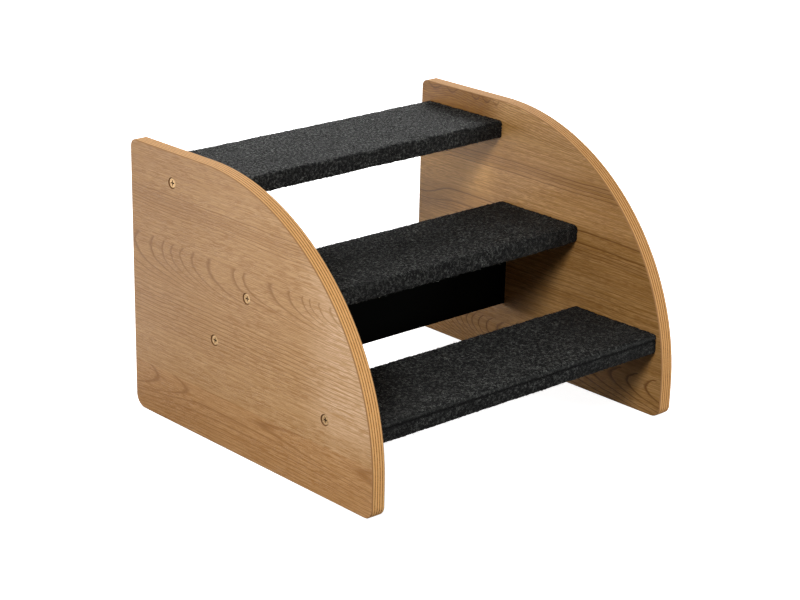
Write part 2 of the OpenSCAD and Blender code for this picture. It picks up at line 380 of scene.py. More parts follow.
def saddle_leaf(tree, y, z, heart, waist, front_spread, back_spread, rings):
    """Late wood of a leaf cut through a bend of the heart: tongues that face across the waist."""
    off_heart = calc(tree, "SUBTRACT", z, heart)
    off_waist = calc(tree, "SUBTRACT", y, waist)
    front = calc(tree, "MINIMUM", off_waist, 0.0)
    back = calc(tree, "MAXIMUM", off_waist, 0.0)
    field = calc(tree, "MULTIPLY", off_heart, off_heart)
    for side, side_spread in ((front, front_spread), (back, back_spread)):
        side_bow = calc(tree, "DIVIDE", calc(tree, "MULTIPLY", side, side), side_spread)
        field = calc(tree, "SUBTRACT", field, side_bow)
    return late_wood_lines(tree, field, rings)


def grain_axes(tree, place):
    """The height, and Y and Z pushed about a little, as the grain wanders."""
    axes = split(tree, place)
    wavy_y = calc(tree, "ADD", axes["Y"], sway(tree, place, (0.0, 0.012, 0.03), 14.0))
    wavy_y = calc(tree, "ADD", wavy_y, sway(tree, place, (0.0, 0.12, 0.30), 3.5))
    wavy_z = calc(tree, "ADD", axes["Z"], sway(tree, place, (0.0, 0.010, 0.02), 6.0))
    wavy_z = calc(tree, "ADD", wavy_z, sway(tree, place, (0.0, 0.06, 0.15), 1.0))
    return axes["Z"], wavy_y, wavy_z


faint_line = 0.20
groove_of_late_wood = 0.3


def show_lines(tree, lines, crowded):
    """Long lines at full strength where they are crowded, and faint elsewhere."""
    return calc(tree, "MULTIPLY", lines, fade(tree, crowded, 0.0, 0.5, faint_line, 1.0))


def stain_veneer(tree, place, outputs, late_wood, dark_bands, streaks, tone, bands, lines, pores, tints):
    """Colours a veneer, and sinks its pores and late wood.

    Streaks are its pale and its dark colour. Tone, bands, lines and pores each give how
    strongly that part of the grain shows, and its colour. Tints multiply the whole.
    """
    fibres = place_group(tree, fibre_group, {"Place": place})
    colour = blend(tree, fade(tree, fibres["Streaks"], 0.34, 0.66), *streaks)
    tone_share, tone_colour = tone
    colour = blend(tree, fade(tree, fibres["Tone"], 0.35, 0.70, 0.0, tone_share), colour, tone_colour)
    for mask, (share, stain) in ((dark_bands, bands), (late_wood, lines), (fibres["Pores"], pores)):
        colour = blend(tree, calc(tree, "MULTIPLY", mask, share), colour, stain)
    for tint in tints:
        colour = blend(tree, 1.0, colour, tint, "MULTIPLY")
    line_grooves = calc(tree, "MULTIPLY", late_wood, groove_of_late_wood)
    grooves = calc(tree, "ADD", fibres["Pores"], line_grooves)
    tree.links.new(colour, outputs["Colour"])
    tree.links.new(calc(tree, "SUBTRACT", 1.0, grooves), outputs["Height"])


# The outer faces: a straight leaf on top, then a wide leaf with cut-off arches at its upper
# side and long lines below them, and a lively leaf along the floor. The colour is a little
# darker towards the back, and painted light makes it pale at the front, at mid height.
# A band is its middle and its half width.
upper_joint = 219.0
lower_joint = 60.0
arch_height = 213.0
arch_fall = 0.03
leg_ends = (150.0, 178.0)
crowded_top_band = (264.0, 20.0)
crowded_low_band = (140.0, 60.0)
low_crowd_share = 0.50
dark_top_band = (266.0, 12.0)
arch_strength = 0.86
tongue_strength = 0.72
floor_leaf_tint = (0.97, 0.91, 0.84, 1)
front_tint = (1.08, 1.07, 1.03, 1)
back_tint = (0.87, 0.83, 0.75, 1)
front_light_tint = (1.30, 1.47, 1.96, 1)
high_back_tint = (0.92, 0.89, 0.81, 1)
veneer_outputs = {"Colour": "Color", "Height": "Float"}

outer_group, outer_in, outer_out = new_group("outer_veneer", {"Place": "Vector"}, veneer_outputs)
tree = outer_group
height, wavy_y, wavy_z = grain_axes(tree, outer_in["Place"])
arches = crown_leaf(
    tree, wavy_y, wavy_z,
    crown=calc(tree, "SUBTRACT", arch_height, calc(tree, "MULTIPLY", wavy_y, arch_fall)),
    rings=(
        -165, -138, -121, -107, -94, -70, -40, 5, 22, 68, 98, 118, 135, 153, 175, 205, 243, 283,
        325, 368, 412, 458,
    ),
)
tongues = saddle_leaf(
    tree, wavy_y, wavy_z, heart=50.0, waist=74.0, front_spread=197.0, back_spread=24.5,
    rings=(-1500, -900, -359, -53, 81, 420, 790, 1090, 1400, 1700, 2000, 2300, 2500),
)
long_lines = late_wood_lines(tree, wavy_z, rings=(
    52, 66, 75, 84, 92, 99, 105, 110.5, 115.5, 120, 124.5, 129, 134, 139, 144, 149, 154, 159.5, 165, 171,
    178, 190, 203, 219, 226, 232, 236, 241, 246, 250, 254, 258, 261, 265, 268.5, 270.5, 274, 281, 289, 298,
    308, 320, 330,
))
crowded_low = calc(tree, "MULTIPLY", band(tree, wavy_z, *crowded_low_band), low_crowd_share)
crowded = greatest(tree, band(tree, wavy_z, *crowded_top_band), crowded_low)
long_lines = show_lines(tree, long_lines, crowded)
on_top_leaf = calc(tree, "GREATER_THAN", height, upper_joint)
on_floor_leaf = calc(tree, "LESS_THAN", height, lower_joint)
above_legs = fade(tree, height, *leg_ends)
on_arches = calc(tree, "MULTIPLY", calc(tree, "SUBTRACT", 1.0, on_top_leaf), above_legs)
late_wood = choose(tree, on_arches, long_lines, calc(tree, "MULTIPLY", arches, arch_strength))
late_wood = choose(tree, on_floor_leaf, late_wood, calc(tree, "MULTIPLY", tongues, tongue_strength))
# Painted light: the front of the outer faces, at mid height, is made paler, as if more lit.
front_light_patch = calc(tree, "MULTIPLY", fade(tree, wavy_y, -80.0, -160.0), fade(tree, height, 40.0, 130.0))
high_back = calc(tree, "MULTIPLY", fade(tree, wavy_y, 0.0, 150.0), fade(tree, height, 60.0, 200.0))
stain_veneer(
    tree, outer_in["Place"], outer_out, late_wood,
    dark_bands=band(tree, wavy_z, *dark_top_band),
    streaks=(screen_colour(217, 174, 127), screen_colour(193, 147, 96)),
    tone=(0.30, screen_colour(190, 143, 92)),
    bands=(0.22, screen_colour(158, 108, 48)),
    lines=(0.85, screen_colour(142, 92, 34)),
    pores=(0.64, screen_colour(168, 118, 62)),
    tints=(
        blend(tree, on_floor_leaf, no_tint, floor_leaf_tint),
        blend(tree, fade(tree, wavy_y, -190.0, 205.0), front_tint, back_tint),
        blend(tree, front_light_patch, no_tint, front_light_tint),
        blend(tree, high_back, no_tint, high_back_tint),
    ),
)

# The inner faces: a tall leaf of long lines, dark where they crowd, which bend down at the
# back. Cut-off scallops run along its top, and a lively leaf along the floor.
inner_lower_joint = 46.0
back_bend_depth = 14.0
front_bend_depth = 4.0
top_slope = 0.15
crowded_wide_band = (118.0, 50.0)
wide_crowd_share = 0.24
crowded_middle_band = (182.0, 26.0)
crowded_upper_band = (247.0, 14.0)
top_crowd = (282.0, 292.0)
dark_middle_band = (171.0, 9.0)
dark_upper_band = (248.0, 9.0)
scallop_places = ((187, 11), (158, 10), (115, 8), (96, 8), (80, 6))
scallop_foot = 318.0
scallop_rise = 6.0
scallop_line = 2.2
tongue_heart = 34.0
pale_top_tint = (1.14, 1.20, 1.30, 1)
painted_shade_tint = (0.64, 0.53, 0.26, 1)
painted_glow_tint = (1.43, 1.48, 1.56, 1)

inner_group, inner_in, inner_out = new_group("inner_veneer", {"Place": "Vector"}, veneer_outputs)
tree = inner_group
height, wavy_y, wavy_z = grain_axes(tree, inner_in["Place"])
back_bend = fade(tree, wavy_y, 150.0, 205.0, 0.0, back_bend_depth)
back_bend = calc(tree, "MULTIPLY", back_bend, fade(tree, height, 166.0, 182.0))
front_bend = fade(tree, wavy_y, -110.0, -190.0, 0.0, front_bend_depth)
top_rise = calc(tree, "MULTIPLY", wavy_y, fade(tree, height, 262.0, 300.0, 0.0, top_slope))
bent_z = calc(tree, "ADD", calc(tree, "ADD", wavy_z, back_bend), front_bend)
bent_z = calc(tree, "SUBTRACT", bent_z, top_rise)
inner_lines = late_wood_lines(tree, bent_z, rings=(
    46, 62, 76, 88, 98, 106, 113, 121, 127, 133, 140, 147, 153, 159, 162, 165, 168, 172, 176, 180, 195.5,
    203, 211, 219, 227, 234, 240, 245, 249, 253, 261, 268, 274, 279, 283, 286.5, 289.5, 292.5, 295.5,
    298.5, 301.5, 304.5, 307.5, 310.5, 313.5, 316.5, 319.5,
))
crowded = greatest(
    tree,
    band(tree, bent_z, *crowded_middle_band),
    band(tree, wavy_z, *crowded_upper_band),
    fade(tree, bent_z, *top_crowd, 0.0, 0.5),
    calc(tree, "MULTIPLY", band(tree, bent_z, *crowded_wide_band), wide_crowd_share),
)
inner_lines = show_lines(tree, inner_lines, crowded)
scallops = 0.0
for scallop_middle, scallop_half_width in scallop_places:
    along = calc(tree, "DIVIDE", calc(tree, "SUBTRACT", wavy_y, scallop_middle), scallop_half_width)
    rise = calc(tree, "MULTIPLY", calc(tree, "MULTIPLY", along, along), scallop_rise)
    bowl = band(tree, wavy_z, calc(tree, "ADD", rise, scallop_foot), scallop_line)
    scallop = calc(tree, "MULTIPLY", bowl, band(tree, along, 0.0, 2.0))
    scallops = greatest(tree, scallop, scallops)
off_heart = calc(tree, "SUBTRACT", wavy_z, tongue_heart)
tongue_bow = calc(tree, "MULTIPLY", off_heart, off_heart)
tongue_bow = calc(tree, "MULTIPLY", tongue_bow, fade(tree, wavy_y, 20.0, 70.0, 0.11, 0.075))
tongues = late_wood_lines(tree, calc(tree, "ADD", wavy_y, tongue_bow), rings=(
    -214, -186, -158, -131, -95, -60, -22, 20, 60, 79, 95, 107, 117, 128, 140, 152, 164, 176, 190, 203,
    217, 232,
))
on_floor_leaf = calc(tree, "LESS_THAN", height, inner_lower_joint)
tall_leaf = greatest(tree, inner_lines, scallops)
at_back = fade(tree, wavy_y, 62.0, 104.0)
# Painted shade: the strip above the top tread at the back is made darker.
shade_above_top_tread = calc(tree, "MULTIPLY", at_back, fade(tree, height, 288.0, 302.0))
# Painted light: a band below the top tread at the back is made paler, as a painted glow of the mirrored
# floor.
glow_below_top_tread = calc(tree, "MULTIPLY", at_back, band(tree, height, 230.0, 50.0))
tint = blend(tree, fade(tree, height, 262.0, 296.0), no_tint, pale_top_tint)
tint = blend(tree, shade_above_top_tread, tint, painted_shade_tint)
tint = blend(tree, glow_below_top_tread, tint, painted_glow_tint)
stain_veneer(
    tree, inner_in["Place"], inner_out,
    late_wood=choose(tree, on_floor_leaf, tall_leaf, tongues),
    dark_bands=calc(tree, "ADD", band(tree, bent_z, *dark_upper_band), band(tree, bent_z, *dark_middle_band)),
    streaks=(screen_colour(213, 164, 106), screen_colour(181, 132, 70)),
    tone=(0.40, screen_colour(168, 119, 60)),
    bands=(0.30, screen_colour(140, 92, 36)),
    lines=(0.90, screen_colour(116, 71, 24)),
    pores=(0.60, screen_colour(150, 101, 47)),
    tints=(tint,),
)

# How far a point is from the axis of the nearest screw.
far_off = 1000.0
screw_group, screw_in, screw_out = new_group("screw_distance", {"Place": "Vector"}, {"Distance": "Float"})
screw_axes = split(screw_group, screw_in["Place"])
flat_place = add_node(screw_group, "ShaderNodeCombineXYZ", {1: screw_axes["Y"], 2: screw_axes["Z"]})
nearest_screw = far_off
for screw_y, screw_z in screw_places:
    off_axis = add_node(screw_group, "ShaderNodeVectorMath", {
        0: flat_place.outputs[0],
        1: (0.0, screw_y, screw_z),
    }, operation="DISTANCE").outputs["Value"]
    nearest_screw = calc(screw_group, "MINIMUM", off_axis, nearest_screw)
screw_group.links.new(nearest_screw, screw_out["Distance"])

# The edge: a thin veneer at each face and nine plies between, whose grain runs by turns
# along the edge and out of it, where its cut ends show as short ticks.
glue_line_strength = 0.30
painted_light_left_edge = (1.12, 1.12, 1.12, 1)
painted_shade_right_edge = (0.97, 0.95, 0.93, 1)
line_blur = 0.1
grain_and_shade_strength = 0.75

plywood, tree, output = new_material("veneered_plywood")
place = place_in_millimetres(tree)
axes = split(tree, place)
across = calc(tree, "ABSOLUTE", axes["X"])
wander = sway(tree, place, (0.0, 0.03, 0.03), 0.5)
from_veneer = calc(tree, "SUBTRACT", calc(tree, "ADD", across, wander), panel_inner_face + veneer_depth)
ply_number = calc(tree, "DIVIDE", from_veneer, ply_depth)
pair_part = calc(tree, "FRACT", calc(tree, "MULTIPLY", ply_number, 0.5))
dark_ply_end = fade(tree, pair_part, 0.90, 0.96, 1.0, 0.0)
dark_ply = calc(tree, "MULTIPLY", fade(tree, pair_part, 0.54, 0.60), dark_ply_end)
off_ply_middle = calc(tree, "ABSOLUTE", calc(tree, "SUBTRACT", calc(tree, "FRACT", ply_number), 0.5))
glue_line = band(tree, off_ply_middle, 0.5, 0.10)
end_grain = specks(tree, place, (0.5, 1.6, 1.6), detail=2)
ply_streaks = specks(tree, place, (3.0, 0.12, 0.12), detail=3, roughness=0.6)
light_ply_colour = blend(
    tree, fade(tree, ply_streaks, 0.3, 0.7), screen_colour(230, 182, 120), screen_colour(210, 155, 90)
)
dark_ply_colour = blend(
    tree, fade(tree, end_grain, 0.40, 0.66), screen_colour(178, 120, 60), screen_colour(126, 76, 32)
)
edge_colour = blend(tree, dark_ply, light_ply_colour, dark_ply_colour)
glue_share = calc(tree, "MULTIPLY", glue_line, glue_line_strength)
edge_colour = blend(tree, glue_share, edge_colour, screen_colour(146, 94, 46))
# Painted light and shade: the left panel's edge is made lighter and the right panel's darker.
on_right_panel = calc(tree, "GREATER_THAN", axes["X"], 0.0)
edge_tint = blend(tree, on_right_panel, painted_light_left_edge, painted_shade_right_edge)
edge_colour = blend(tree, 1.0, edge_colour, edge_tint, "MULTIPLY")
off_middle = calc(tree, "ABSOLUTE", calc(tree, "SUBTRACT", across, panel_middle))
veneer_line = half_board - veneer_depth
at_veneer = fade(tree, off_middle, veneer_line - line_blur, veneer_line + line_blur)
edge_colour = blend(tree, at_veneer, edge_colour, screen_colour(172, 126, 80))

outer_look = place_group(tree, outer_group, {"Place": place})
inner_look = place_group(tree, inner_group, {"Place": place})
on_outer_side = calc(tree, "GREATER_THAN", across, panel_middle)
face_colour = blend(tree, on_outer_side, inner_look["Colour"], outer_look["Colour"])
face_height = choose(tree, on_outer_side, inner_look["Height"], outer_look["Height"])
facing = split(tree, add_node(tree, "ShaderNodeTexCoord").outputs["Normal"])
on_face = calc(tree, "GREATER_THAN", calc(tree, "ABSOLUTE", facing["X"]), facing_share)
colour = blend(tree, on_face, edge_colour, face_colour)
relief = choose(tree, on_face, calc(tree, "MULTIPLY", end_grain, dark_ply), face_height)

# The countersinks are painted dark round each screw: partly their raw end grain, partly painted shade in the
# hollow.
from_screws = place_group(tree, screw_group, {"Place": place})["Distance"]
in_countersink = fade(tree, from_screws, countersink_reach + 0.2, countersink_reach)
in_countersink = calc(tree, "MULTIPLY", in_countersink, on_outer_side)
countersink_grain_and_shade = calc(tree, "MULTIPLY", in_countersink, grain_and_shade_strength)
colour = blend(tree, countersink_grain_and_shade, colour, screen_colour(74, 42, 18))


def add_shader(tree, output, inputs, height, strength, depth):
    """Ends a material in its shader, with these inputs and a bump of that height."""
    bump = add_node(tree, "ShaderNodeBump", {"Strength": strength, "Distance": depth, "Height": height})
    shader = add_node(tree, "ShaderNodeBsdfPrincipled", {**inputs, "Normal": bump.outputs[0]})
    tree.links.new(shader.outputs[0], output.inputs["Surface"])


def dress(node_name, material):
    """Gives a CAD piece its material through its own slots."""
    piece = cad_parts[node_name]
    if not piece.material_slots:
        piece.data.materials.append(material)
    for material_slot in piece.material_slots:
        material_slot.material = material


add_shader(tree, output, {
    "Base Color": colour,
    "Roughness": choose(tree, on_face, 0.85, 0.36),
    "Specular IOR Level": 0.4,
}, relief, strength=0.35, depth=0.00025)
for side in ("left", "right"):
    dress("side_panel_" + side, plywood)


# Tread boards
# Three raw boards of wood fibre, one inside each felt cover. They are butted between the
# panels, and hardly show.

fibreboard, tree, output = new_material("raw_fibreboard")
place = place_in_millimetres(tree)
flakes = specks(tree, place, (0.9, 0.9, 0.9), detail=4, roughness=0.7)
shives = fade(tree, specks(tree, place, (0.3, 1.8, 1.8), detail=1), 0.62, 0.74)
colour = blend(tree, fade(tree, flakes, 0.3, 0.7), screen_colour(178, 148, 110), screen_colour(148, 116, 82))
colour = blend(tree, calc(tree, "MULTIPLY", shives, 0.5), colour, screen_colour(112, 82, 54))
add_shader(tree, output, {"Base Color": colour, "Roughness": 0.8}, flakes, strength=0.4, depth=0.0002)

tread_names = ("bottom", "middle", "top")
for tread in tread_names:
    dress("tread_board_" + tread, fibreboard)


# Felt covers
# One sheet of charcoal needle felt, nearly 3 mm thick, is wrapped round each board. Its two
# edges meet in a butt joint: high on the front of the bottom tread, and at the back of the
# others. Sizes in meshes are in metres.

felt_thickness = 0.0027
felt_corner = 0.005
joint_width = 0.00006
joint_drop = 0.007
underside_sag = 0.0022
long_edge = 0.1
skin_reach = 0.004
nearly_all = 0.999


def select_only(piece):
    """Makes a piece the active and the only selected one."""
    bpy.ops.object.select_all(action="DESELECT")
    bpy.context.view_layer.objects.active = piece
    piece.select_set(True)


def edit_selected(piece, pick_faces=None, pick_edges=None):
    """Opens a piece for editing with only the faces or edges selected that pass the test."""
    select_only(piece)
    bpy.ops.object.mode_set(mode="EDIT")
    bpy.ops.mesh.select_mode(type="FACE" if pick_faces else "EDGE")
    bpy.ops.mesh.select_all(action="DESELECT")
    bpy.ops.object.mode_set(mode="OBJECT")
    mesh = piece.data
    for face in mesh.polygons:
        face.select = bool(pick_faces and pick_faces(face))
    if pick_edges:
        for edge in mesh.edges:
            first, second = (mesh.vertices[v].co for v in edge.vertices)
            edge.select = pick_edges(first, second)
    bpy.ops.object.mode_set(mode="EDIT")


def close_edit():
    """Goes back to object mode."""
    bpy.ops.object.mode_set(mode="OBJECT")


def cut_along(piece, axis, rounds, least=0.0):
    """Cuts the edges along an axis, if longer than least, once for each number of cuts."""
    def runs_along(first, second):
        step = second - first
        return abs(step[axis]) > nearly_all * step.length and step.length > least

    for cuts in rounds:
        edit_selected(piece, pick_edges=runs_along)
        bpy.ops.mesh.subdivide(number_cuts=cuts)
        close_edit()


def apply_modifier(piece, kind, **settings):
    """Adds a modifier to a piece and applies it."""
    modifier = piece.modifiers.new(kind.lower(), kind)
    for name, value in settings.items():
        setattr(modifier, name, value)
    select_only(piece)
    bpy.ops.object.modifier_apply(modifier=modifier.name)


def lump_texture(name, size, depth):
    """Cloud noise for uneven felt. Size is in metres."""
    texture = bpy.data.textures.new(name, "CLOUDS")
    texture.noise_scale = size
    texture.noise_depth = depth
    return texture


slow_lumps = lump_texture("felt_slow_lumps", 0.030, 1)
small_lumps = lump_texture("felt_small_lumps", 0.0028, 1)


def wrap_felt(tread):
    """The outer skin of a cover, bent from the sheet, with its joint open, cut into a fine net."""
    low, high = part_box("felt_cover_" + tread)
    bpy.ops.object.select_all(action="DESELECT")
    bpy.ops.mesh.primitive_cube_add(size=1, location=(low + high) / 2, scale=high - low)
    cover = bpy.context.active_object
    cover.name = "felt_sheet_" + tread
    bpy.ops.object.transform_apply(location=True, rotation=True, scale=True)
    edit_selected(cover, pick_faces=lambda face: abs(face.normal.x) > facing_share)
    bpy.ops.mesh.delete(type="FACE")
    close_edit()
    edit_selected(cover, pick_edges=lambda first, second: abs(first.x - second.x) > long_edge)
    bpy.ops.mesh.bevel(offset=felt_corner, segments=6, affect="EDGES")
    close_edit()

    joint_side = -1 if tread == "bottom" else 1
    joint_height = high.z - joint_drop
    for lip in (joint_height - joint_width / 2, joint_height + joint_width / 2):
        edit_selected(cover, pick_faces=lambda face: face.normal.y * joint_side > facing_share)
        bpy.ops.mesh.bisect(plane_co=(0, 0, lip), plane_no=(0, 0, 1))
        close_edit()
    edit_selected(cover, pick_faces=lambda face: (
        face.normal.y * joint_side > facing_share and abs(face.center.z - joint_height) < joint_width / 2
    ))
    bpy.ops.mesh.delete(type="FACE")
    close_edit()
    cut_along(cover, 0, (15, 15))
    cut_along(cover, 1, (60,), least=0.02)
    cut_along(cover, 2, (8,), least=0.006)
    cut_along(cover, 2, (2,), least=0.0012)
    return cover, low, high


joint_dent = 0.0022
crease_dent = 0.0004
crease_drops = (0.0108, 0.0140, 0.0172)
dented_end = 0.024
tuck_dent = 0.0011
tuck_drops = (0.0070, 0.0105, 0.0140)
pucker_dent = 0.0006
pucker_width = 0.0034


def press(value, middle, half_width):
    """1 at the middle of a groove, and down to 0 at its sides."""
    off = min(abs(value - middle) / half_width, 1.0)
    return (1 - off * off) ** 2


def dent_in_front(tread, from_right, drop):
    """How deep the front of a cover is pressed in, at a place on it.

    The bottom one has its joint and creases, and at their right ends the top one has level
    tucks and the middle one upright puckers.
    """
    if tread == "bottom":
        creases = sum(press(drop, middle, 0.0012) for middle in crease_drops)
        return joint_dent * press(drop, joint_drop, 0.0018) + crease_dent * creases
    near_end = press(from_right, 0.0, dented_end)
    if tread == "top":
        tucks = sum(press(drop, middle + 0.02 * from_right, 0.0014) for middle in tuck_drops)
        return tuck_dent * near_end * tucks
    puckers = 0.5 + 0.5 * math.cos((from_right + 0.3 * drop) / pucker_width * 2 * math.pi)
    return pucker_dent * near_end * puckers


felt_covers = {}
for tread in tread_names:
    cover, low, high = wrap_felt(tread)
    for lumps, strength, mid_level in ((slow_lumps, 0.0009, 0.65), (small_lumps, 0.0018, 0.55)):
        apply_modifier(
            cover, "DISPLACE", texture=lumps, texture_coords="LOCAL", strength=strength, mid_level=mid_level
        )
    for vertex in cover.data.vertices:
        if vertex.co.y < low.y + skin_reach:
            vertex.co.y += dent_in_front(tread, high.x - vertex.co.x, high.z - vertex.co.z)
        if tread == "bottom" and vertex.co.z < low.z + skin_reach:
            vertex.co.z -= underside_sag
    apply_modifier(cover, "SOLIDIFY", thickness=felt_thickness, offset=-1, use_even_offset=True)
    felt_covers[tread] = cover

# The felt is a dark ground with curly pale fibres in patches, with fewer on the fronts and at the
# ends of the two low treads as painted shade. On the bottom tread's front a dark joint, darkened
# further as painted shade in its groove, runs under a paler lip.
bottom_front = -193.0
front_joint_height = 94.5
front_lip_height = 98.4
low_treads_height = 250.0
end_shade_reach = (110.0, 190.0)
end_shade_share = 0.4

felt, tree, output = new_material("charcoal_felt")
place = place_in_millimetres(tree)
felt_axes = split(tree, place)
clumps = specks(tree, place, (0.28, 0.28, 0.28), detail=2)
grains = specks(tree, place, (0.80, 0.80, 0.80), detail=2)
mottle = specks(tree, place, (0.035, 0.035, 0.035), detail=2)
warp = add_node(tree, "ShaderNodeTexNoise", {"Vector": place, "Scale": 0.30, "Detail": 1.0}).outputs["Color"]
warp = add_node(tree, "ShaderNodeVectorMath", {0: warp, "Scale": 6.0}, operation="SCALE").outputs[0]
warped_place = add_node(tree, "ShaderNodeVectorMath", {0: place, 1: warp}, operation="ADD").outputs[0]


def fibre_lines(tree, place, stretch, width):
    """Thin curly lines: where noise passes through its middle value."""
    noise = specks(tree, place, stretch, detail=1)
    return band(tree, noise, 0.5, width)


coarse_fibres = fibre_lines(tree, warped_place, (0.32, 0.32, 0.32), 0.032)
fine_fibres = fibre_lines(tree, warped_place, (0.72, 0.66, 0.70), 0.060)
curled_fibres = greatest(tree, coarse_fibres, fine_fibres)
pale_patches = fade(tree, specks(tree, place, (0.30, 0.30, 0.30), detail=2), 0.44, 0.62)
pale_patches = calc(tree, "MULTIPLY", pale_patches, fade(tree, mottle, 0.40, 0.60, 0.55, 0.80))
felt_facing = split(tree, add_node(tree, "ShaderNodeTexCoord").outputs["Normal"])
# Painted shade: fewer pale fibres on the fronts and at the ends of the two low treads make them darker.
shaded_front_share = fade(tree, felt_facing["Y"], -0.4, -0.8, 0.95, 0.55)
end_shade = fade(tree, calc(tree, "ABSOLUTE", felt_axes["X"]), *end_shade_reach, 0.0, end_shade_share)
low_tread_end_shade = calc(tree, "MULTIPLY", end_shade, calc(tree, "LESS_THAN", felt_axes["Z"], low_treads_height))
pale_fibres = calc(tree, "MULTIPLY", curled_fibres, pale_patches)
for share in (shaded_front_share, calc(tree, "SUBTRACT", 1.0, low_tread_end_shade)):
    pale_fibres = calc(tree, "MULTIPLY", pale_fibres, share)
on_low_front = calc(tree, "LESS_THAN", felt_axes["Y"], bottom_front)
wavy_height = calc(tree, "ADD", felt_axes["Z"], sway(tree, place, (0.08, 0.0, 0.0), 2.2))
off_joint = calc(tree, "ABSOLUTE", calc(tree, "SUBTRACT", wavy_height, front_joint_height))
# The joint is painted nearly black: the joint itself, and painted shade in its groove.
joint_and_groove_shade = calc(tree, "MULTIPLY", fade(tree, off_joint, 0.6, 2.0, 0.95, 0.0), on_low_front)
on_lip = calc(tree, "MULTIPLY", band(tree, felt_axes["Z"], front_lip_height, 2.0), on_low_front)
clump_share = fade(tree, clumps, 0.30, 0.70, 0.5, 1.0)
grain_share = calc(tree, "MULTIPLY", fade(tree, grains, 0.36, 0.64), clump_share)
colour = blend(tree, grain_share, screen_colour(2, 2, 2), screen_colour(14, 15, 15))
colour = blend(tree, fade(tree, mottle, 0.40, 0.65, 0.0, 0.5), colour, screen_colour(16, 17, 17))
colour = blend(tree, pale_fibres, colour, screen_colour(200, 203, 196))
colour = blend(tree, calc(tree, "MULTIPLY", on_lip, 0.22), colour, screen_colour(105, 107, 104))
colour = blend(tree, joint_and_groove_shade, colour, (0.0005, 0.0005, 0.0005, 1))
felt_height = calc(tree, "ADD", grains, calc(tree, "MULTIPLY", curled_fibres, 0.40))
felt_height = calc(tree, "ADD", felt_height, calc(tree, "MULTIPLY", clumps, 0.8))
smooth_share = calc(tree, "MULTIPLY", grain_share, calc(tree, "SUBTRACT", 1.0, joint_and_groove_shade))
add_shader(tree, output, {
    "Base Color": colour,
    "Roughness": fade(tree, smooth_share, 0.0, 0.6, 1.0, 0.6),
    "Specular IOR Level": 0.07,
    "Sheen Weight": 0.06,
    "Sheen Roughness": 0.5,
}, felt_height, strength=1.0, depth=0.0024)

# Loose fibres stand out of the felt all over it and make its outline fuzzy. Each is a thin
# three-sided thread, curled, with both of its ends drawn to a point.
fibres_on_a_cover = 8000
fibre_rings = 3
fibre_length = (0.002, 0.0070)
fibre_rise = (0.0002, 0.0014)
fibre_half_width = (0.00006, 0.00016)
fibre_curl = 0.9
bulge_share = 0.8
# Painted shade: threads on the fronts are made darker.
painted_front_shade = 0.6
root_depth = 0.0004
end_margin = 0.003
joint_margin = 0.0026
fibre_chance = random.Random(7)

loose_fibre, tree, output = new_material("loose_fibre")
fibre_shade = add_node(
    tree, "ShaderNodeAttribute", attribute_name="fibre_shade", attribute_type="GEOMETRY"
).outputs["Fac"]
colour = blend(tree, fibre_shade, screen_colour(5, 6, 6), screen_colour(160, 163, 157))
fibre_shader = add_node(tree, "ShaderNodeBsdfPrincipled", {
    "Base Color": colour,
    "Roughness": 0.8,
    "Specular IOR Level": 0.2,
})
tree.links.new(fibre_shader.outputs[0], output.inputs["Surface"])


def root_on_cover(tread, low, high, along, way_round):
    """A thread's root and its way out, that far round a cover, or nothing in the open joint."""
    depth = high.y - low.y
    thickness = high.z - low.z
    if way_round < 2 * depth:
        y = low.y + way_round % depth
        z = high.z if way_round < depth else low.z
    else:
        y = low.y if way_round < 2 * depth + thickness else high.y
        z = low.z + (way_round - 2 * depth) % thickness
    if tread == "bottom" and y == low.y and abs(high.z - joint_drop - z) < joint_margin:
        return None
    corner_y = min(max(y, low.y + felt_corner), high.y - felt_corner)
    corner_z = min(max(z, low.z + felt_corner), high.z - felt_corner)
    core = Vector((along, corner_y, corner_z))
    out = (Vector((along, y, z)) - core).normalized()
    root = core + felt_corner * out
    if tread == "bottom" and out.z < 0:
        root.z += underside_sag * out.z
    return root, out


def curled_line(root, out, heading, curl, length, rise):
    """The middle line of a thread that lies along the felt, turns as it goes and bulges out."""
    side = Vector((1, 0, 0))
    stretch = length / (fibre_rings + 1)
    line = []
    here = root - root_depth * out
    for step in range(fibre_rings + 2):
        lift = rise * math.sin(math.pi * step / (fibre_rings + 1) * bulge_share)
        line.append(here + lift * out)
        here = here + stretch * (math.cos(heading) * side + math.sin(heading) * out.cross(side))
        heading += curl
    return line


def add_thread(points, faces, line, out, half_width):
    """Adds the points and faces of a thread round its middle line."""
    first = len(points)
    points.append(line[0])
    for step in range(1, fibre_rings + 1):
        forward = (line[step + 1] - line[step - 1]).normalized()
        across = forward.cross(out).normalized()
        up = across.cross(forward)
        for corner in range(3):
            angle = 2 * math.pi * corner / 3
            points.append(line[step] + half_width * (math.cos(angle) * across + math.sin(angle) * up))
    points.append(line[-1])
    last = len(points) - 1
    for corner in range(3):
        following = (corner + 1) % 3
        faces.append((first, first + 1 + following, first + 1 + corner))
        for step in range(fibre_rings - 1):
            ring = first + 1 + 3 * step
            faces.append((ring + corner, ring + following, ring + 3 + following, ring + 3 + corner))
        ring = last - 3
        faces.append((last, ring + corner, ring + following))


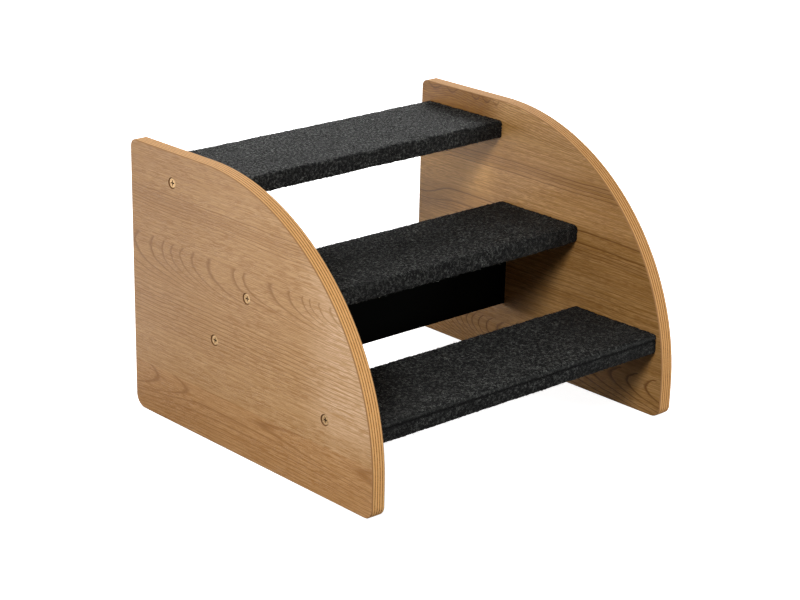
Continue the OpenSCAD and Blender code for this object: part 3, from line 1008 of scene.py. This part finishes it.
def loose_fibres(tread, low, high):
    """Threads scattered over a cover's faces, as one piece."""
    points = []
    faces = []
    shades = []
    for _ in range(fibres_on_a_cover):
        along = fibre_chance.uniform(low.x + end_margin, high.x - end_margin)
        way_round = fibre_chance.uniform(0, 2 * ((high.y - low.y) + (high.z - low.z)))
        spot = root_on_cover(tread, low, high, along, way_round)
        if spot is None:
            continue
        root, out = spot
        heading = fibre_chance.uniform(0, 2 * math.pi)
        curl = fibre_chance.gauss(0, fibre_curl)
        length = fibre_chance.uniform(*fibre_length)
        rise = fibre_chance.uniform(*fibre_rise)
        half_width = fibre_chance.uniform(*fibre_half_width)
        on_front = out.y < -0.7
        shade = fibre_chance.random() ** 4 * (painted_front_shade if on_front else 1.0)
        add_thread(points, faces, curled_line(root, out, heading, curl, length, rise), out, half_width)
        shades.extend([shade] * (len(points) - len(shades)))
    mesh = bpy.data.meshes.new("loose_fibres_" + tread)
    mesh.from_pydata(points, [], faces)
    mesh.attributes.new("fibre_shade", "FLOAT", "POINT").data.foreach_set("value", shades)
    threads = bpy.data.objects.new("loose_fibres_" + tread, mesh)
    bpy.context.scene.collection.objects.link(threads)
    return threads


for tread, cover in felt_covers.items():
    low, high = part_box("felt_cover_" + tread)
    select_only(cover)
    bpy.ops.object.shade_smooth()
    cover.data.materials.append(felt)
    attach(cover, "root")
    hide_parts("felt_cover_" + tread)
    threads = loose_fibres(tread, low, high)
    threads.data.materials.append(loose_fibre)
    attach(threads, "root")


# Cross brace
# A board with a thin matt black lacquer, set on edge under the back of the middle tread.
# Its face keeps faint upright ridges from the sawn veneer under the lacquer.

black_lacquer, tree, output = new_material("black_lacquer")
place = place_in_millimetres(tree)
ridges = specks(tree, place, (0.9, 0.9, 0.03), detail=3, roughness=0.6)
dust = fade(tree, specks(tree, place, (0.6, 0.6, 0.6), detail=3), 0.62, 0.8)
colour = blend(tree, ridges, screen_colour(2, 3, 2), screen_colour(6, 7, 6))
colour = blend(tree, calc(tree, "MULTIPLY", dust, 0.12), colour, screen_colour(30, 30, 28))
add_shader(tree, output, {
    "Base Color": colour,
    "Roughness": fade(tree, ridges, 0.2, 0.8, 0.55, 0.75),
    "Specular IOR Level": 0.015,
}, ridges, strength=0.25, depth=0.0002)
dress("cross_brace", black_lacquer)


# Dowels
# Fluted beech pins, two at each end of every tread and of the brace, which they keep from
# turning. A third of each is glued into a panel, and the rest into the end of the board.

beech, tree, output = new_material("raw_beech")
place = place_in_millimetres(tree)
beech_grain = specks(tree, place, (0.05, 1.1, 1.1), detail=3, roughness=0.6)
beech_flecks = fade(tree, specks(tree, place, (0.5, 2.4, 2.4), detail=1), 0.62, 0.72)
colour = blend(
    tree, fade(tree, beech_grain, 0.3, 0.7), screen_colour(222, 186, 142), screen_colour(196, 154, 108)
)
colour = blend(tree, calc(tree, "MULTIPLY", beech_flecks, 0.5), colour, screen_colour(158, 112, 72))
add_shader(tree, output, {"Base Color": colour, "Roughness": 0.62}, beech_grain, strength=0.3, depth=0.0001)

for tread in tread_names:
    dress(tread + "_tread_dowels", beech)
dress("cross_brace_dowels", beech)


# Screws
# Countersunk wood screws with a cross recess and a dull yellow plating, one at each end of
# every tread and of the brace. Their heads sit a little below the panels' outer faces.

head_face = 231.9
recess_depths = (0.04, 0.25)
rim_reach = (5.1, 5.5)
plating_colour = (0.80, 0.52, 0.26, 1)
tarnish_colour = (0.50, 0.30, 0.13, 1)
shaded_colour = (0.07, 0.032, 0.010, 1)

yellow_plating, tree, output = new_material("yellow_plating")
place = place_in_millimetres(tree)
reach_out = calc(tree, "ABSOLUTE", split(tree, place)["X"])
in_recess = fade(tree, reach_out, *(head_face - depth for depth in recess_depths))
at_rim = fade(tree, place_group(tree, screw_group, {"Place": place})["Distance"], *rim_reach)
tarnish = fade(tree, specks(tree, place, (0.5, 0.5, 0.5), detail=2), 0.42, 0.6)
scuffs = specks(tree, place, (0.4, 5.0, 5.0), detail=2)
colour = blend(tree, tarnish, plating_colour, tarnish_colour)
# Painted shade: the recess and a ring at the rim of each head are made dark.
in_shade = greatest(tree, in_recess, calc(tree, "MULTIPLY", at_rim, 0.5))
colour = blend(tree, in_shade, colour, shaded_colour)
add_shader(tree, output, {
    "Base Color": colour,
    "Roughness": fade(tree, scuffs, 0.3, 0.7, 0.38, 0.55),
    "Metallic": 0.55,
}, scuffs, strength=0.3, depth=0.00008)

for tread in tread_names:
    dress(tread + "_tread_screws", yellow_plating)
dress("cross_brace_screws", yellow_plating)


low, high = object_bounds()
